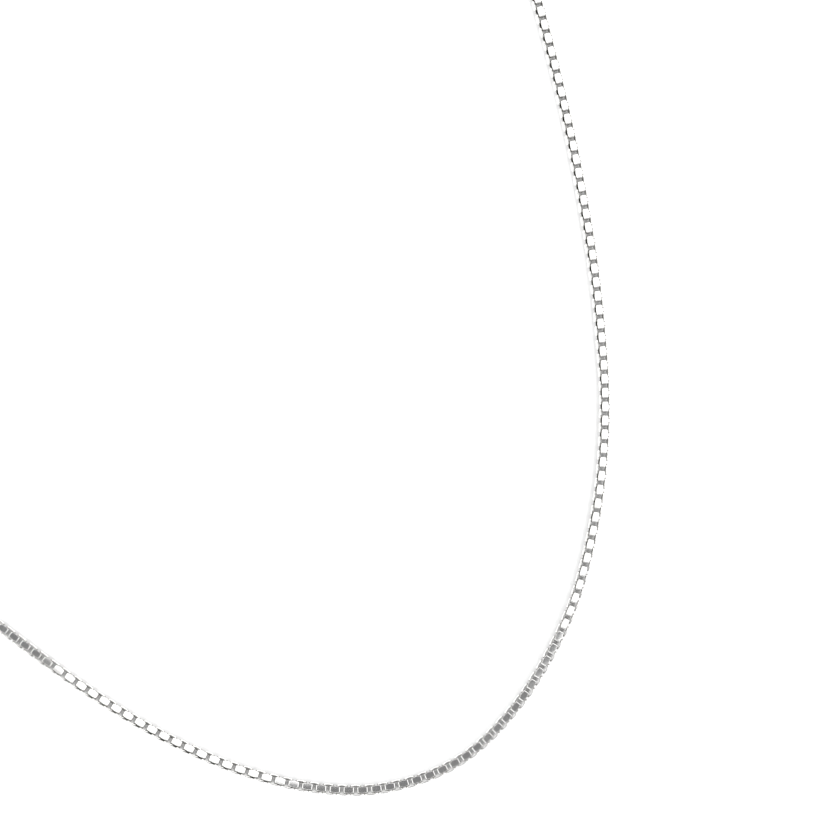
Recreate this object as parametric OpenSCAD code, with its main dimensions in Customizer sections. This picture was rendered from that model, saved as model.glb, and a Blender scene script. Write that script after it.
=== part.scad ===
// A fine box chain necklace that lies on a flat surface in one whole loop.
// Lengths are in millimetres. The front of the loop is toward -Y, the clasp is at +Y and +Z is up.
// Square links of flat strip, each turned a quarter round from the last, make a chain with flat sides.

/* [Necklace] */
// Length round the whole closed necklace, clasp included
necklace_len = 450; // [380:5:800]

/* [Links] */
// Outer size of a square link across the chain
link_size = 1.02; // [0.8:0.01:2]
// Width of the flat strip that a link is bent from
strip_w = 0.61; // [0.4:0.01:1.1]

/* [Clasp] */
// Outer diameter of the barrel
barrel_d = 2.4; // [2.2:0.1:5]
// Length of the barrel
barrel_len = 9; // [7:0.5:16]
// Width of the slope on the barrel's end edges
edge_slope = 0.3; // [0.1:0.05:0.4]
// Depth of the socket in each end, where the chain's last link is held
socket_depth = 1; // [0.6:0.1:2]
// Space left round the chain inside a socket
socket_gap = 0.1; // [0.05:0.01:0.2]
// Least wall left round a socket
socket_wall = 0.4; // [0.3:0.05:0.8]

/* [Finish] */
// Colour of the metal
metal = "Silver"; // [Silver, LightSteelBlue, Gold]

/* [Hidden] */

// Route of the chain's middle line, clockwise from the clasp's right end to its left end.
// Each point is x, y and the chain's roll in degrees, where above 0 the top leans into the loop.
clasp_y = 88;
route = [
    [21, 85, 0], [37, 75, -2], [47.5, 58, -4], [52, 39, -6], [51.5, 19, -8], [47.5, -1, -10],
    [42, -20, -12], [35.5, -40, -12], [31, -51, -11], [25, -63, -10], [20, -71, -9],
    [13.5, -78.5, -7], [7.5, -83.5, -2], [2, -86.5, 3], [-2, -88, 5], [-8.5, -89, 7],
    [-17, -86.5, 9], [-21, -83.5, 11], [-25.5, -78.5, 16], [-29, -73, 19], [-32.5, -65.5, 17],
    [-34, -61.5, 12], [-35, -58.5, 7], [-42.5, -34, 5], [-50, -7, 4], [-52, 20, 3],
    [-47.5, 46.5, 2], [-36.5, 70, 0], [-20, 84, 0]
];
// Length of chain that the route makes at full size, and the rings of the tube between two points
route_len = 443;
steps = 3;

// Chain's outline across: the corners of two crossed links, as an eight sided figure
half = link_size / 2;
side = min(strip_w / 2, 0.45 * link_size);
outline = [
    [half, -side], [half, side], [side, half], [-side, half],
    [-half, side], [-half, -side], [-side, -half], [side, -half]
];

// Clasp's sizes
socket_r = norm([half, side]) + socket_gap;
barrel_r = max(barrel_d / 2, socket_r + socket_wall);
end_x = barrel_len / 2 - socket_depth;

// Route in its real size, with the two ends that meet the clasp
plan = (necklace_len - 2 * end_x) / route_len;
points = concat(
    [[end_x, plan * clasp_y, 0, 1]],
    [for (p = route) [plan * p.x, plan * p.y, p.z, 0]],
    [[-end_x, plan * clasp_y, 0, 1]]
);
last = len(points) - 1;

function flat(p) = [p.x, p.y];
function gap(i) = norm(flat(points[i + 1]) - flat(points[i]));
function run(i) = (flat(points[i + 1]) - flat(points[i])) / gap(i);

// Direction of the route at a point, from its neighbours, and along the clasp at both ends
function heading(i) = (i == 0 || i == last)
    ? [1, 0]
    : (run(i - 1) * gap(i) + run(i) * gap(i - 1)) / (gap(i - 1) + gap(i));

// Place, direction, roll and rise on the stretch after point i, a share u of the way along it
function place(i, u) = flat(points[i]) * (2 * pow(u, 3) - 3 * pow(u, 2) + 1)
    + heading(i) * gap(i) * (pow(u, 3) - 2 * pow(u, 2) + u)
    + flat(points[i + 1]) * (3 * pow(u, 2) - 2 * pow(u, 3))
    + heading(i + 1) * gap(i) * (pow(u, 3) - pow(u, 2));
function slope(i, u) = (flat(points[i]) - flat(points[i + 1])) * (6 * pow(u, 2) - 6 * u)
    + heading(i) * gap(i) * (3 * pow(u, 2) - 4 * u + 1)
    + heading(i + 1) * gap(i) * (3 * pow(u, 2) - 2 * u);
function ease(i, k, u) = points[i][k]
    + (points[i + 1][k] - points[i][k]) * (3 * pow(u, 2) - 2 * pow(u, 3));

// Outline turned by a roll, and the height of its middle when its lowest corner is on the surface
function turned(q, roll) = [q.x * cos(roll) - q.y * sin(roll), q.x * sin(roll) + q.y * cos(roll)];
function resting(roll) = max([for (q = outline) turned(q, roll).y]);

// One ring of the tube's corners, square to the route
function ring(i, u) =
    let (
        c = place(i, u),
        t = slope(i, u) / norm(slope(i, u)),
        roll = ease(i, 2, u),
        rise = ease(i, 3, u),
        z = resting(roll) * (1 - rise) + barrel_r * rise
    )
    [for (q = outline)
        let (w = turned(q, roll))
        [c.x - t.y * w.x, c.y + t.x * w.x, z + w.y]];

rings = concat(
    [for (i = [0:last - 1], k = [0:steps - 1]) ring(i, k / steps)],
    [ring(last - 1, 1)]
);
corners = [for (r = rings, p = r) p];
around = len(outline);
ends = len(rings) - 1;

// Middle of the necklace seen from above, which becomes the middle of the space
middle = [
    (min([for (p = corners) p.x]) + max([for (p = corners) p.x])) / 2,
    (min([for (p = corners) p.y]) + plan * clasp_y + barrel_r) / 2
];

// Chain as one plain tube of its outer size, held in the clasp at both ends
module chain() {
    color(metal)
        translate([-middle.x, -middle.y, 0])
            polyhedron(
                points = corners,
                faces = concat(
                    [[for (k = [0:around - 1]) k]],
                    [for (r = [0:ends - 1], k = [0:around - 1])
                        [r * around + k, (r + 1) * around + k, r * around + (k + 1) % around]],
                    [for (r = [0:ends - 1], k = [0:around - 1])
                        [r * around + (k + 1) % around, (r + 1) * around + k,
                            (r + 1) * around + (k + 1) % around]],
                    [[for (k = [around - 1:-1:0]) ends * around + k]]
                )
            );
}

// Clasp as one plain closed barrel with a socket in each end
module clasp() {
    color(metal)
        translate([-middle.x, plan * clasp_y - middle.y, barrel_r])
            rotate([0, 90, 0])
                rotate_extrude($fn = 96)
                    polygon([
                        [0, -end_x],
                        [socket_r, -end_x],
                        [socket_r, -barrel_len / 2],
                        [barrel_r - edge_slope, -barrel_len / 2],
                        [barrel_r, -barrel_len / 2 + edge_slope],
                        [barrel_r, barrel_len / 2 - edge_slope],
                        [barrel_r - edge_slope, barrel_len / 2],
                        [socket_r, barrel_len / 2],
                        [socket_r, end_x],
                        [0, end_x]
                    ]);
}

chain();
clasp();
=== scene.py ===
"""Box chain necklace: its look in Blender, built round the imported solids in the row's frame."""

import math

import bpy
import numpy as np
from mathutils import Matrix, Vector


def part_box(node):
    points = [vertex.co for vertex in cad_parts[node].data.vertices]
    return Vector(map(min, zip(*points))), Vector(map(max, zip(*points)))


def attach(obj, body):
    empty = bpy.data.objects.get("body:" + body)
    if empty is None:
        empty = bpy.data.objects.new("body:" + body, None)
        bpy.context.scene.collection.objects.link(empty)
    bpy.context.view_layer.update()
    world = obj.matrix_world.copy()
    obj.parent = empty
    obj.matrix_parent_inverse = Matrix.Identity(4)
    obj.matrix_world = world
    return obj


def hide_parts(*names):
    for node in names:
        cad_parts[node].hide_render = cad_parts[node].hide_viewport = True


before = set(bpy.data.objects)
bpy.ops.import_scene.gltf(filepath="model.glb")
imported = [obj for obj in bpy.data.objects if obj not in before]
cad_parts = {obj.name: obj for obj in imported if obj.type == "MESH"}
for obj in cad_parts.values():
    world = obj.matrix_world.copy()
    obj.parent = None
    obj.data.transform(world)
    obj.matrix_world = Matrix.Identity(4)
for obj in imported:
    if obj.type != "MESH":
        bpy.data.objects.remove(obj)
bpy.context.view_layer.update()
clasp_low, clasp_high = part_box("clasp")

bl_info = {
    "name": "Box chain necklace",
    "version": (1, 0, 0),
    "blender": (4, 5, 0),
    "location": "3D View > Sidebar > Necklace",
    "description": "Builds a fine box chain of square strip links, its barrel clasp and a plain studio",
    "category": "Add Mesh",
}

MM = 0.001

# Route of the chain's middle line, clockwise from the clasp's right end to its left end.
# Each point is x and y in millimetres and the chain's roll in degrees.
ROUTE = [
    (21, 85, 0), (37, 75, -2), (47.5, 58, -4), (52, 39, -6), (51.5, 19, -8), (47.5, -1, -10),
    (42, -20, -12), (35.5, -40, -12), (31, -51, -11), (25, -63, -10), (20, -71, -9),
    (13.5, -78.5, -7), (7.5, -83.5, -2), (2, -86.5, 3), (-2, -88, 5), (-8.5, -89, 7),
    (-17, -86.5, 9), (-21, -83.5, 11), (-25.5, -78.5, 16), (-29, -73, 19), (-32.5, -65.5, 17),
    (-34, -61.5, 12), (-35, -58.5, 7), (-42.5, -34, 5), (-50, -7, 4), (-52, 20, 3),
    (-47.5, 46.5, 2), (-36.5, 70, 0), (-20, 84, 0),
]
CLASP_Y = 88

# Steps of the smooth line between two points of the route.
ROUTE_STEPS = 120

# Pieces into which the links are gathered, in the route's order.
LINK_PIECES = ["links_right_back", "links_right", "links_front", "links_left", "links_left_back"]

# Seed of the links' random tones and leans, spread of the leans in degrees, and the room over the
# floor that they take.
SEED = 7
LEAN_SPREAD = 0.4
LEAN_ROOM = 0.006 * MM

# Steps round a link's bend, and places of the points along the two sides that show, as shares of
# the distance from a side's middle to its bend.
BEND_STEPS = 4
SIDE_PLACES = (0.66, 0.3, -0.3, -0.66)

# Swell of the strip's edges at their middle, and how far across and out the ends of the swell face.
EDGE_SWELL = 0.012 * MM
SWELL_FACING = (0.93, 0.37)

# Radius of the strip's inner edges as a share of the outer ones', and how far across the outer face
# turns at its rim.
INNER_EASE = 0.8
RIM_TURN = 0.02

# Narrowing of the outer face along the sides that show: how much of it comes for each link size
# from the side's middle, its late start, and the most that a point on such a side is turned.
NARROWING_RATE = 2.6
NARROWING_START = 0.25
SIDE_TURN = 0.01

# How far a face turns along the chain before it gets painted shade, darker and duller silver that
# partly stands for spots that polishing misses. Then how much painted shade and dullness the tight
# bends get, as a share of a crevice's.
POLISH_AND_SHADE_REACH = 0.7
BEND_DULLNESS_AND_SHADE = 0.12

# Roughness of the polished silver, and what polishing lines, film and crevices add to it.
POLISH_ROUGHNESS = 0.09
LINES_ROUGHNESS = 0.07
FILM_ROUGHNESS = 0.04
CREVICE_ROUGHNESS = 0.15

# Fineness of the film, and of the polishing lines on a link and on the clasp.
FILM_FINENESS = 260.0
LINK_LINES = 9000.0
CLASP_LINES = 3000.0

# Dents: fineness as a share of the polishing lines' and share of the bumps' height. Then the bumps'
# strength and height.
DENT_FINENESS = 0.22
DENT_SHARE = 0.65
BUMP_STRENGTH = 0.12
BUMP_HEIGHT = 0.02 * MM

# Strengths of the noise between which film and lines fade in.
FILM_FADE = (0.35, 0.75)
LINES_FADE = (0.4, 0.8)

# Share of each colour that the warmest silver keeps, and how far film and a link's own tone warm it.
WARMTH = (0.93, 0.92, 0.9)
FILM_WARMTH = 0.35
TONE_WARMTH = 0.3

# Barrel: radius of its rim, the angles of the points round it in degrees, and the sides that stand
# for its roundness.
BARREL_EDGE = 0.3 * MM
BARREL_ANGLES = range(0, 91, 10)
BARREL_SIDES = 64

# Socket: room round the chain's corners, radius of its rim and the angles round it in degrees, slope
# at its floor's corner, and the floor's reach as a share of the bore.
SOCKET_GAP = 0.1 * MM
SOCKET_RIM = 0.06 * MM
SOCKET_ANGLES = (22, 45, 68, 90)
SOCKET_CORNER = 0.02 * MM
SOCKET_FLOOR = 0.98

# Point at which the camera looks: x and y in the route's own millimetres, and the height.
AIM = (6.02, -60.92)
AIM_HEIGHT = 0.5 * MM

# Camera's sensor width in millimetres and its nearest and farthest distance in metres.
SENSOR = 36
CLIP = (0.01, 20)

# Half of the floor's side in metres, and its roughness.
FLOOR_REACH = 4.0
FLOOR_ROUGHNESS = 0.8

# White tent: brightness at the horizon, and the height, as a sine, at which it is fully white.
HORIZON_SHADE = 0.2
HORIZON_TOP = 0.3

# Dark cards in the tent: azimuth, elevation, radius and softness in degrees, and brightness. Then
# their blue as a share of their red and green.
DARK_CARDS = [(156.6, 80.1, 12, 2, 0.148), (-15, 54, 27.5, 3, 0.2)]
CARD_BLUE = 1.02

# Soft lamp: diameter, and place from the point at which the camera looks, in metres.
LAMP_SIZE = 0.45
LAMP_PLACE = (-0.055, -0.634, 0.636)


class NecklaceSizes(bpy.types.PropertyGroup):
    """Sizes and colours of the necklace."""

    link_size: bpy.props.FloatProperty(
        name="Link size", description="Outer size of a square link across the chain",
        default=1.02 * MM, min=0.5 * MM, max=3 * MM, unit="LENGTH", precision=5)
    strip_width: bpy.props.FloatProperty(
        name="Strip width", description="Width of the strip that a link is bent from",
        default=0.61 * MM, min=0.2 * MM, max=2 * MM, unit="LENGTH", precision=5)
    strip_thickness: bpy.props.FloatProperty(
        name="Strip thickness", description="Thickness of the strip at its middle",
        default=0.18 * MM, min=0.05 * MM, max=0.5 * MM, unit="LENGTH", precision=5)
    corner_radius: bpy.props.FloatProperty(
        name="Corner radius", description="Outer radius of a link's four bends",
        default=0.13 * MM, min=0.05 * MM, max=0.5 * MM, unit="LENGTH", precision=5)
    inner_radius: bpy.props.FloatProperty(
        name="Inner corner radius", description="Radius inside a link's four bends",
        default=0.03 * MM, min=0.01 * MM, max=0.3 * MM, unit="LENGTH", precision=5)
    edge_radius: bpy.props.FloatProperty(
        name="Edge radius", description="Radius to which the strip's long edges are eased",
        default=0.035 * MM, min=0.01 * MM, max=0.08 * MM, unit="LENGTH", precision=5)
    bend_narrowing: bpy.props.FloatProperty(
        name="Narrowing at the bends",
        description="How much narrower the stretched outer face is past a bend, on each side",
        default=0.075 * MM, min=0, max=0.2 * MM, unit="LENGTH", precision=5)
    pitch: bpy.props.FloatProperty(
        name="Link pitch", description="Distance between the middles of two neighbouring links",
        default=0.6336 * MM, min=0.3 * MM, max=2 * MM, unit="LENGTH", precision=6)
    socket_depth: bpy.props.FloatProperty(
        name="Socket depth", description="Depth to which the last link goes into the clasp",
        default=1.0 * MM, min=0.2 * MM, max=2 * MM, unit="LENGTH", precision=5)
    metal: bpy.props.FloatVectorProperty(
        name="Metal", description="Colour of the polished silver",
        default=(0.93, 0.93, 0.92), size=3, min=0, max=1, subtype="COLOR")
    # Painted shade: the darker silver laid in the links' hollows, inner faces and bends, partly
    # standing for silver that polishing misses.
    crevice_shade_tint: bpy.props.FloatVectorProperty(
        name="Crevices", description="Colour of the silver where polishing doesn't reach",
        default=(0.19, 0.183, 0.165), size=3, min=0, max=1, subtype="COLOR")


class StudioSettings(bpy.types.PropertyGroup):
    """Light, floor and camera of the studio."""

    camera_azimuth: bpy.props.FloatProperty(
        name="Camera azimuth", description="Way round the necklace that the camera stands",
        default=math.radians(-35), subtype="ANGLE", unit="ROTATION")
    camera_elevation: bpy.props.FloatProperty(
        name="Camera elevation", description="Height of the camera above the horizon",
        default=math.radians(89), subtype="ANGLE", unit="ROTATION")
    camera_distance: bpy.props.FloatProperty(
        name="Camera distance", description="Distance from the lens to the middle of the picture",
        default=0.4018, min=0.1, max=2, unit="LENGTH")
    lens: bpy.props.FloatProperty(
        name="Lens", description="Focal length in millimetres", default=190, min=20, max=300)
    floor_colour: bpy.props.FloatVectorProperty(
        name="Floor", description="Colour of the plain pale floor",
        default=(0.93, 0.93, 0.93), size=3, min=0, max=1, subtype="COLOR")
    floor_glow: bpy.props.FloatProperty(
        name="Floor glow", description="Light that the floor gives off, as a lit table does",
        default=0.04, min=0)
    sky_strength: bpy.props.FloatProperty(
        name="Tent", description="Brightness of the white tent round the set", default=1.46, min=0)
    key_power: bpy.props.FloatProperty(
        name="Key light", description="Power of the soft lamp", default=4.5, min=0, unit="POWER")


class Value:
    """A number or colour in a node tree, on which ordinary sums add the nodes."""

    def __init__(self, tree, socket):
        self.tree, self.socket = tree, socket

    def _math(self, operation, first, second):
        return self.tree.node("ShaderNodeMath", {"operation": operation}, {0: first, 1: second})[0]

    def __add__(self, other):
        return self._math("ADD", self, other)

    __radd__ = __add__

    def __sub__(self, other):
        return self._math("SUBTRACT", self, other)

    def __rsub__(self, other):
        return self._math("SUBTRACT", other, self)

    def __mul__(self, other):
        return self._math("MULTIPLY", self, other)

    __rmul__ = __mul__

    def between(self, low, high):
        """0 below low, 1 above high and a smooth rise between them."""
        return self.tree.node(
            "ShaderNodeMapRange", {"interpolation_type": "SMOOTHSTEP"},
            {"Value": self, "From Min": low, "From Max": high})[0]

    def mix(self, first, second):
        """Colour first where this is 0 and second where it is 1."""
        return self.tree.node(
            "ShaderNodeMix", {"data_type": "RGBA"}, {0: self, 6: first, 7: second})[2]


class Tree:
    """A node tree to which one method adds every kind of node."""

    def __init__(self, owner):
        owner.use_nodes = True
        self.tree = owner.node_tree
        self.tree.nodes.clear()

    def node(self, kind, settings=None, inputs=None):
        """Adds a node with its settings, then its sockets' values or links, and gives its outputs."""
        made = self.tree.nodes.new(kind)
        for name, value in (settings or {}).items():
            setattr(made, name, value)
        for key, value in (inputs or {}).items():
            if isinstance(value, Value):
                self.tree.links.new(value.socket, made.inputs[key])
            else:
                made.inputs[key].default_value = value
        return [Value(self, s) for s in made.outputs]


def polished_silver(name, colour, crevice_shade_colour, fineness):
    """Polished silver with fine polishing lines, small dents, a faint film that varies, and painted
    shade, darker and rougher silver, where a mesh marks its crevices.
    """
    material = bpy.data.materials.new(name)
    tree = Tree(material)
    place = tree.node("ShaderNodeTexCoord")[3]
    film = tree.node(
        "ShaderNodeTexNoise", {}, {"Vector": place, "Scale": FILM_FINENESS, "Detail": 3.0})[0]
    lines = tree.node(
        "ShaderNodeTexNoise", {},
        {"Vector": place, "Scale": fineness, "Detail": 4.0, "Roughness": 0.6})[0]
    dents = tree.node(
        "ShaderNodeTexNoise", {},
        {"Vector": place, "Scale": fineness * DENT_FINENESS, "Detail": 1.0})[0]
    tone = tree.node("ShaderNodeAttribute", {"attribute_name": "link_tone"})[2]
    # Painted shade: this attribute marks the links' hollows and bends, partly silver that polishing
    # misses.
    crevice_shade = tree.node("ShaderNodeAttribute", {"attribute_name": "crevice_shade"})[2]
    film = film.between(*FILM_FADE)
    unshaded_polish = 1 - crevice_shade
    pale = tuple(colour) + (1,)
    warm = tuple(part * kept for part, kept in zip(colour, WARMTH)) + (1,)
    silver = (film * FILM_WARMTH + tone * TONE_WARMTH).mix(pale, warm)
    # Painted shade: the colour goes toward the dark crevice colour where the attribute is set.
    base = unshaded_polish.mix(tuple(crevice_shade_colour) + (1,), silver)
    rough = (
        POLISH_ROUGHNESS + lines.between(*LINES_FADE) * LINES_ROUGHNESS
        + film * FILM_ROUGHNESS + crevice_shade * CREVICE_ROUGHNESS)
    height = lines * (1 - DENT_SHARE) + dents * DENT_SHARE
    bump = tree.node(
        "ShaderNodeBump", {},
        {"Strength": BUMP_STRENGTH, "Distance": BUMP_HEIGHT, "Height": height})[0]
    shader = tree.node("ShaderNodeBsdfPrincipled", {}, {
        "Base Color": base, "Metallic": 1.0, "Roughness": rough, "Normal": bump})[0]
    tree.node("ShaderNodeOutputMaterial", {}, {"Surface": shader})
    return material


def add_piece(name, points, faces, material, replaced):
    """Makes a mesh piece that rides on the necklace and stands for a plain solid."""
    mesh = bpy.data.meshes.new(name)
    mesh.from_pydata(points, [], faces)
    mesh.materials.append(material)
    mesh.polygons.foreach_set("use_smooth", np.ones(len(mesh.polygons), bool))
    mesh.update()
    piece = bpy.data.objects.new(name, mesh)
    bpy.context.scene.collection.objects.link(piece)
    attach(piece, "root")
    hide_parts(replaced)
    return piece


def strip_outline(sizes):
    """Outline of the rolled strip with flat faces and crowned edges, and the way each point faces.

    A point is its distance across from the strip's middle line and its share of the way from the
    link's inner face to its outer face.
    """
    thick, half = sizes.strip_thickness, sizes.strip_width / 2
    outer, inner = sizes.edge_radius, sizes.edge_radius * INNER_EASE
    slant = math.sqrt(0.5)
    swell_across, swell_out = SWELL_FACING
    side = [
        (half - inner, 0, 0, -1),
        (half - inner * (1 - slant), inner * (1 - slant), slant, -slant),
        (half - EDGE_SWELL, inner, swell_across, -swell_out),
        (half, thick / 2, 1, 0),
        (half - EDGE_SWELL, thick - outer, swell_across, swell_out),
        (half - outer * (1 - slant), thick - outer * (1 - slant), slant, slant),
        (half - outer, thick, RIM_TURN, 1),
    ]
    side += [(-across, out, -turn, rise) for across, out, turn, rise in reversed(side)]
    return [(across, out / thick, turn, rise) for across, out, turn, rise in side]


def rounded_square(size, radius):
    """Points round a square with rounded corners, each with the angle that it faces.

    The two sides that show have more points, as they swell toward their middle.
    """
    half, flat = size / 2, size / 2 - radius
    places = []
    for turn, (x, y) in enumerate([(flat, flat), (-flat, flat), (-flat, -flat), (flat, -flat)]):
        for k in range(BEND_STEPS + 1):
            angle = math.pi / 2 * (turn + k / BEND_STEPS)
            places.append((x + radius * math.cos(angle), y + radius * math.sin(angle), angle))
        if turn % 2 == 0:
            facing = math.pi / 2 * (turn + 1)
            places += [(x * share, math.copysign(half, y), facing) for share in SIDE_PLACES]
    return np.array(places)


def one_link(sizes):
    """Points, faces and normals of a link, and how much painted shade each point gets, partly standing
    for silver that polishing misses.

    A link is a strip bent into a closed square ring. The ring lies in the plane of the first two
    axes, the first runs along the chain, and the strip's width runs along the third.
    """
    outer = rounded_square(sizes.link_size, sizes.corner_radius)
    inner = rounded_square(sizes.link_size - 2 * sizes.strip_thickness, sizes.inner_radius)
    turned = np.abs(np.cos(outer[:, 2]))
    along = np.abs(outer[:, 0]) / sizes.link_size
    share = np.clip(along * NARROWING_RATE - NARROWING_START, 0, 1)
    on_a_side = turned < SIDE_TURN
    narrow = sizes.bend_narrowing * np.where(on_a_side, share, 1)
    middle = (outer[:, :2] + inner[:, :2]) / 2
    step = np.linalg.norm(np.roll(middle, -1, 0) - np.roll(middle, 1, 0), axis=1)
    change = (np.roll(narrow, -1) - np.roll(narrow, 1)) / step
    points, normals, dull_and_shaded = [], [], []
    for far, near, turn, less, fall in zip(outer, inner, turned, narrow, change):
        c, s = math.cos(far[2]), math.sin(far[2])
        # Painted shade: faces turned along the chain toward the next link, the middles of the tight
        # bends and the faces inside the ring are darkened.
        end = (turn - POLISH_AND_SHADE_REACH) / (1 - POLISH_AND_SHADE_REACH)
        bend = BEND_DULLNESS_AND_SHADE * 2 * abs(s * c)
        for across, out, side, rise in strip_outline(sizes):
            points.append((
                *(near[:2] + (far[:2] - near[:2]) * out),
                across - less * out * across / (sizes.strip_width / 2)))
            rise, lean = rise + abs(side) * less / sizes.strip_thickness, abs(side) * fall * out
            normals.append((c * rise - s * lean, s * rise + c * lean, side))
            dull_and_shaded.append(max(-rise, end, bend))
    n, m = len(outer), len(strip_outline(sizes))
    faces = [
        (i * m + j, i * m + (j + 1) % m, (i + 1) % n * m + (j + 1) % m, (i + 1) % n * m + j)
        for i in range(n) for j in range(m)
    ]
    normals = np.array(normals)
    normals /= np.linalg.norm(normals, axis=1)[:, None]
    return np.array(points), np.array(faces), normals, np.array(dull_and_shaded)


def resting_height(roll, sizes):
    """Height of the chain's middle where it lies on the floor with a roll in degrees."""
    half, side = sizes.link_size / 2, sizes.strip_width / 2
    angle = np.abs(np.radians(roll))
    return half * np.cos(angle) + side * np.sin(angle) + LEAN_ROOM


def route_shift():
    """Step from the route's own coordinates to the row's frame, which the clasp's box shows."""
    return (clasp_low.x + clasp_high.x) / 2, (clasp_low.y + clasp_high.y) / 2 - CLASP_Y * MM


def chain_route(sizes):
    """Middle line of the chain as many close points, and its roll at each, in the row's frame."""
    end_x = (clasp_high.x - clasp_low.x) / 2 - sizes.socket_depth
    rise = (clasp_low.z + clasp_high.z) / 2
    line = [(end_x, CLASP_Y * MM, 0, 1)]
    line += [(x * MM, y * MM, roll, 0) for x, y, roll in ROUTE]
    line += [(-end_x, CLASP_Y * MM, 0, 1)]
    line = np.array(line, float)
    flat = line[:, :2]
    gap = np.hypot(*np.diff(flat, axis=0).T)
    run = np.diff(flat, axis=0) / gap[:, None]
    heading = np.array([[1.0, 0.0]] * len(line))
    for i in range(1, len(line) - 1):
        heading[i] = (run[i - 1] * gap[i] + run[i] * gap[i - 1]) / (gap[i - 1] + gap[i])
    places, rolls, rises = [], [], []
    for i in range(len(gap)):
        u = np.linspace(0, 1, ROUTE_STEPS, endpoint=i == len(gap) - 1)[:, None]
        smooth = 3 * u**2 - 2 * u**3
        places.append(
            flat[i] * (1 - smooth) + heading[i] * gap[i] * (u**3 - 2 * u**2 + u)
            + flat[i + 1] * smooth + heading[i + 1] * gap[i] * (u**3 - u**2))
        rolls.append(line[i, 2] + (line[i + 1, 2] - line[i, 2]) * smooth[:, 0])
        rises.append(line[i, 3] + (line[i + 1, 3] - line[i, 3]) * smooth[:, 0])
    places, rolls, rises = np.concatenate(places), np.concatenate(rolls), np.concatenate(rises)
    height = resting_height(rolls, sizes) * (1 - rises) + rise * rises
    return np.c_[places + np.array(route_shift()), height], rolls


def link_frames(sizes):
    """Middle, way along, way across and way up of every link along the route."""
    places, rolls = chain_route(sizes)
    along = np.r_[0, np.cumsum(np.linalg.norm(np.diff(places, axis=0), axis=1))]
    count = int((along[-1] - sizes.link_size) / sizes.pitch) + 1
    first = (along[-1] - (count - 1) * sizes.pitch) / 2
    at = first + np.arange(count) * sizes.pitch
    middle = np.stack([np.interp(at, along, places[:, k]) for k in range(3)], 1)
    step = sizes.pitch / 2
    ahead = np.stack([np.interp(at + step, along, places[:, k]) for k in range(3)], 1)
    behind = np.stack([np.interp(at - step, along, places[:, k]) for k in range(3)], 1)
    forward = ahead - behind
    forward /= np.linalg.norm(forward, axis=1)[:, None]
    side = np.cross([0, 0, 1.0], forward)
    side /= np.linalg.norm(side, axis=1)[:, None]
    up = np.cross(forward, side)
    roll = np.radians(np.interp(at, along, rolls))[:, None]
    across = side * np.cos(roll) + up * np.sin(roll)
    above = up * np.cos(roll) - side * np.sin(roll)
    return middle, forward, across, above


class NECKLACE_OT_chain(bpy.types.Operator):
    """Build the chain's interlocking links along the route"""

    bl_idname = "necklace.chain"
    bl_label = "Box chain links"

    def execute(self, context):
        sizes = context.scene.necklace_sizes
        silver = polished_silver("polished_silver_links", sizes.metal, sizes.crevice_shade_tint, LINK_LINES)
        points, faces, normals, dull_and_shaded = one_link(sizes)
        middle, forward, across, above = link_frames(sizes)
        count = len(middle)
        spread = np.random.default_rng(SEED)
        tones = spread.random(count)
        lean = np.radians(spread.normal(0, LEAN_SPREAD, (count, 2)))
        bounds = np.linspace(0, count, len(LINK_PIECES) + 1).round().astype(int)
        for name, start, stop in zip(LINK_PIECES, bounds[:-1], bounds[1:]):
            all_points, all_faces, all_normals, all_tones = [], [], [], []
            for n, i in enumerate(range(start, stop)):
                plates = (above[i], across[i]) if i % 2 else (across[i], above[i])
                x = forward[i] + plates[0] * lean[i, 0] + plates[1] * lean[i, 1]
                x /= np.linalg.norm(x)
                y = plates[0] - x * plates[0].dot(x)
                y /= np.linalg.norm(y)
                turn = np.array([x, y, np.cross(x, y)])
                all_points.append(middle[i] + points @ turn)
                all_normals.append(normals @ turn)
                all_faces.append(faces + n * len(points))
                all_tones.append(np.full(len(points), tones[i], np.float32))
            piece = add_piece(
                name, np.concatenate(all_points).tolist(), np.concatenate(all_faces).tolist(),
                silver, "chain")
            tone = piece.data.attributes.new("link_tone", "FLOAT", "POINT")
            tone.data.foreach_set("value", np.concatenate(all_tones))
            # Painted shade of the links' hollows and bends, kept as a point attribute for the material.
            crevice_shade = piece.data.attributes.new("crevice_shade", "FLOAT", "POINT")
            crevice_shade.data.foreach_set("value", np.tile(dull_and_shaded, stop - start).astype(np.float32))
            piece.data.normals_split_custom_set_from_vertices(np.concatenate(all_normals).tolist())
        return {"FINISHED"}


def barrel_outline(sizes):
    """Half of the clasp's outline, as distances along and out, from a socket's floor to the barrel."""
    radius = (clasp_high.z - clasp_low.z) / 2
    half = (clasp_high.x - clasp_low.x) / 2
    floor = half - sizes.socket_depth
    bore = math.hypot(sizes.link_size / 2, sizes.strip_width / 2) + SOCKET_GAP
    outline = [(floor, 0.0), (floor, bore * SOCKET_FLOOR), (floor + SOCKET_CORNER, bore)]
    outline += [(half - SOCKET_RIM, bore)]
    outline += [
        (half - SOCKET_RIM + SOCKET_RIM * math.sin(a), bore + SOCKET_RIM - SOCKET_RIM * math.cos(a))
        for a in np.radians(SOCKET_ANGLES)]
    outline += [
        (half - BARREL_EDGE + BARREL_EDGE * math.cos(a),
         radius - BARREL_EDGE + BARREL_EDGE * math.sin(a))
        for a in np.radians(BARREL_ANGLES)]
    return outline


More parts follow.
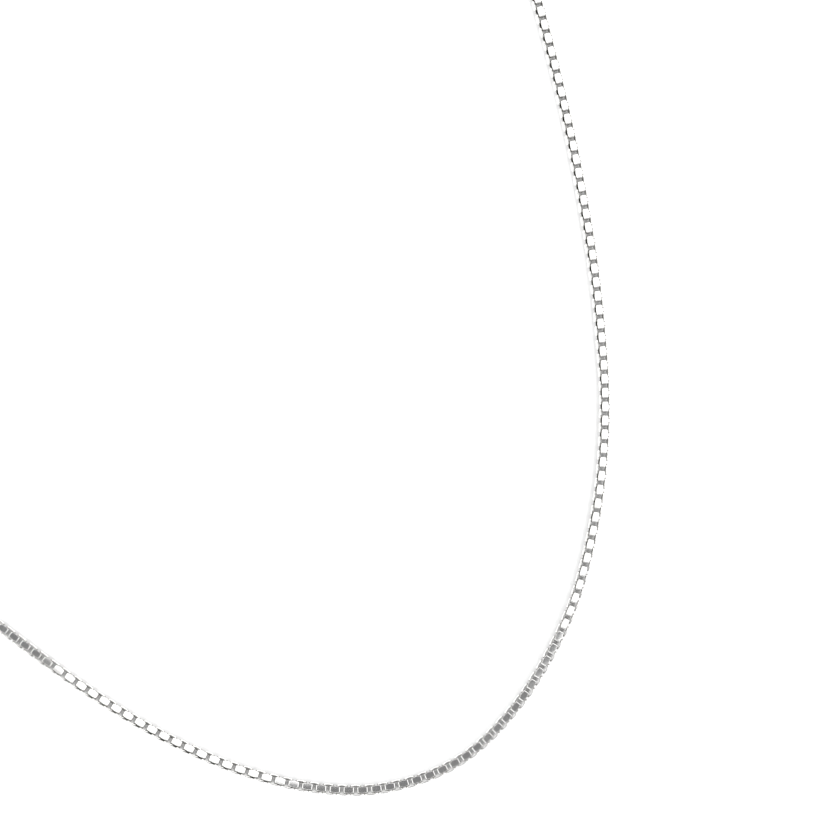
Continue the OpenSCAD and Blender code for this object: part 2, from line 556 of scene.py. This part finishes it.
class NECKLACE_OT_clasp(bpy.types.Operator):
    """Build the barrel clasp that holds both ends of the chain"""

    bl_idname = "necklace.clasp"
    bl_label = "Barrel clasp"

    def execute(self, context):
        sizes = context.scene.necklace_sizes
        silver = polished_silver("polished_silver_clasp", sizes.metal, sizes.crevice_shade_tint, CLASP_LINES)
        outline = barrel_outline(sizes)
        profile = outline + [(-x, r) for x, r in reversed(outline)]
        centre = (clasp_low + clasp_high) / 2
        sides = BARREL_SIDES
        points = [
            (centre.x + x, centre.y + r * math.cos(a), centre.z + r * math.sin(a))
            for x, r in profile for a in (2 * math.pi * k / sides for k in range(sides))]
        faces = [
            (i * sides + k, i * sides + (k + 1) % sides,
             (i + 1) * sides + (k + 1) % sides, (i + 1) * sides + k)
            for i in range(len(profile) - 1) for k in range(sides)]
        piece = add_piece("barrel_clasp", points, faces, silver, "clasp")
        flat = piece.modifiers.new("Flat faces", "WEIGHTED_NORMAL")
        flat.keep_sharp = False
        return {"FINISHED"}


def way_toward(azimuth, elevation):
    """Way to a place round the set, where azimuth 0 is the necklace's front."""
    level = math.cos(elevation)
    return Vector((math.sin(azimuth) * level, -math.cos(azimuth) * level, math.sin(elevation)))


def add_camera(scene, studio, aim):
    """Adds the camera at the photograph's viewing angle."""
    back = way_toward(studio.camera_azimuth, studio.camera_elevation)
    camera = bpy.data.objects.new("camera", bpy.data.cameras.new("camera"))
    scene.collection.objects.link(camera)
    camera.data.lens, camera.data.sensor_width = studio.lens, SENSOR
    camera.data.clip_start, camera.data.clip_end = CLIP
    camera.location = aim + back * studio.camera_distance
    camera.rotation_mode = "QUATERNION"
    camera.rotation_quaternion = (-back).to_track_quat("-Z", "Y")
    scene.camera = camera


def add_floor(scene, studio):
    """Adds the plain pale floor."""
    mesh = bpy.data.meshes.new("floor")
    corners = [(-1, -1), (1, -1), (1, 1), (-1, 1)]
    mesh.from_pydata([(x * FLOOR_REACH, y * FLOOR_REACH, 0) for x, y in corners], [], [(0, 1, 2, 3)])
    floor = bpy.data.objects.new("floor", mesh)
    scene.collection.objects.link(floor)
    material = bpy.data.materials.new("pale_floor")
    tree = Tree(material)
    shader = tree.node("ShaderNodeBsdfPrincipled", {}, {
        "Base Color": tuple(studio.floor_colour) + (1,), "Roughness": FLOOR_ROUGHNESS,
        "Emission Color": (1, 1, 1, 1), "Emission Strength": studio.floor_glow})[0]
    tree.node("ShaderNodeOutputMaterial", {}, {"Surface": shader})
    mesh.materials.append(material)


def add_tent(scene, studio):
    """Adds the white tent round the set, darker at the horizon and with dark cards in it."""
    world = bpy.data.worlds.new("white_tent")
    scene.world = world
    tree = Tree(world)
    way = tree.node("ShaderNodeTexCoord")[0]
    height = tree.node("ShaderNodeSeparateXYZ", {}, {0: way})[2]
    horizon = (HORIZON_SHADE, HORIZON_SHADE, HORIZON_SHADE, 1)
    sky = height.between(0.0, HORIZON_TOP).mix(horizon, (1, 1, 1, 1))
    for azimuth, elevation, reach, soft, shade in DARK_CARDS:
        middle = way_toward(math.radians(azimuth), math.radians(elevation))
        toward = tree.node(
            "ShaderNodeVectorMath", {"operation": "DOT_PRODUCT"}, {0: way, 1: middle})[1]
        card = toward.between(
            math.cos(math.radians(reach + soft)), math.cos(math.radians(reach - soft)))
        sky = card.mix(sky, (shade, shade, shade * CARD_BLUE, 1))
    light = tree.node(
        "ShaderNodeBackground", {}, {"Color": sky, "Strength": studio.sky_strength})[0]
    tree.node("ShaderNodeOutputWorld", {}, {"Surface": light})


def add_lamp(scene, studio, aim):
    """Adds the soft lamp, which throws the faint shadow and isn't mirrored in the silver."""
    lamp = bpy.data.lights.new("soft_key", "AREA")
    lamp.shape, lamp.size, lamp.energy = "DISK", LAMP_SIZE, studio.key_power
    key = bpy.data.objects.new("soft_key", lamp)
    key.location = aim + Vector(LAMP_PLACE)
    key.visible_glossy = False
    key.rotation_mode = "QUATERNION"
    key.rotation_quaternion = (aim - key.location).to_track_quat("-Z", "Y")
    scene.collection.objects.link(key)


class NECKLACE_OT_studio(bpy.types.Operator):
    """Set the plain pale floor, the soft light and the camera"""

    bl_idname = "necklace.studio"
    bl_label = "Floor, light and camera"

    def execute(self, context):
        scene, studio = context.scene, context.scene.necklace_studio
        shift = route_shift()
        aim = Vector((AIM[0] * MM + shift[0], AIM[1] * MM + shift[1], AIM_HEIGHT))
        add_camera(scene, studio, aim)
        add_floor(scene, studio)
        add_tent(scene, studio)
        add_lamp(scene, studio, aim)
        scene.view_settings.view_transform = "Standard"
        return {"FINISHED"}


class NECKLACE_PT_panel(bpy.types.Panel):
    """Sizes of the necklace and its studio"""

    bl_idname = "NECKLACE_PT_panel"
    bl_label = "Box chain necklace"
    bl_space_type = "VIEW_3D"
    bl_region_type = "UI"
    bl_category = "Necklace"

    def draw(self, context):
        layout = self.layout
        for group in (context.scene.necklace_sizes, context.scene.necklace_studio):
            column = layout.column()
            for name in group.__annotations__:
                column.prop(group, name)
        for maker in MAKERS:
            layout.operator(maker.bl_idname)


GROUPS = (NecklaceSizes, StudioSettings)
MAKERS = (NECKLACE_OT_chain, NECKLACE_OT_clasp, NECKLACE_OT_studio)


def register():
    for item in (*GROUPS, *MAKERS, NECKLACE_PT_panel):
        bpy.utils.register_class(item)
    bpy.types.Scene.necklace_sizes = bpy.props.PointerProperty(type=NecklaceSizes)
    bpy.types.Scene.necklace_studio = bpy.props.PointerProperty(type=StudioSettings)


def unregister():
    del bpy.types.Scene.necklace_studio
    del bpy.types.Scene.necklace_sizes
    for item in reversed((*GROUPS, *MAKERS, NECKLACE_PT_panel)):
        bpy.utils.unregister_class(item)


def main():
    register()
    bpy.ops.necklace.chain()
    bpy.ops.necklace.clasp()
    bpy.ops.necklace.studio()
    bpy.context.view_layer.update()


if __name__ == "__main__":
    main()
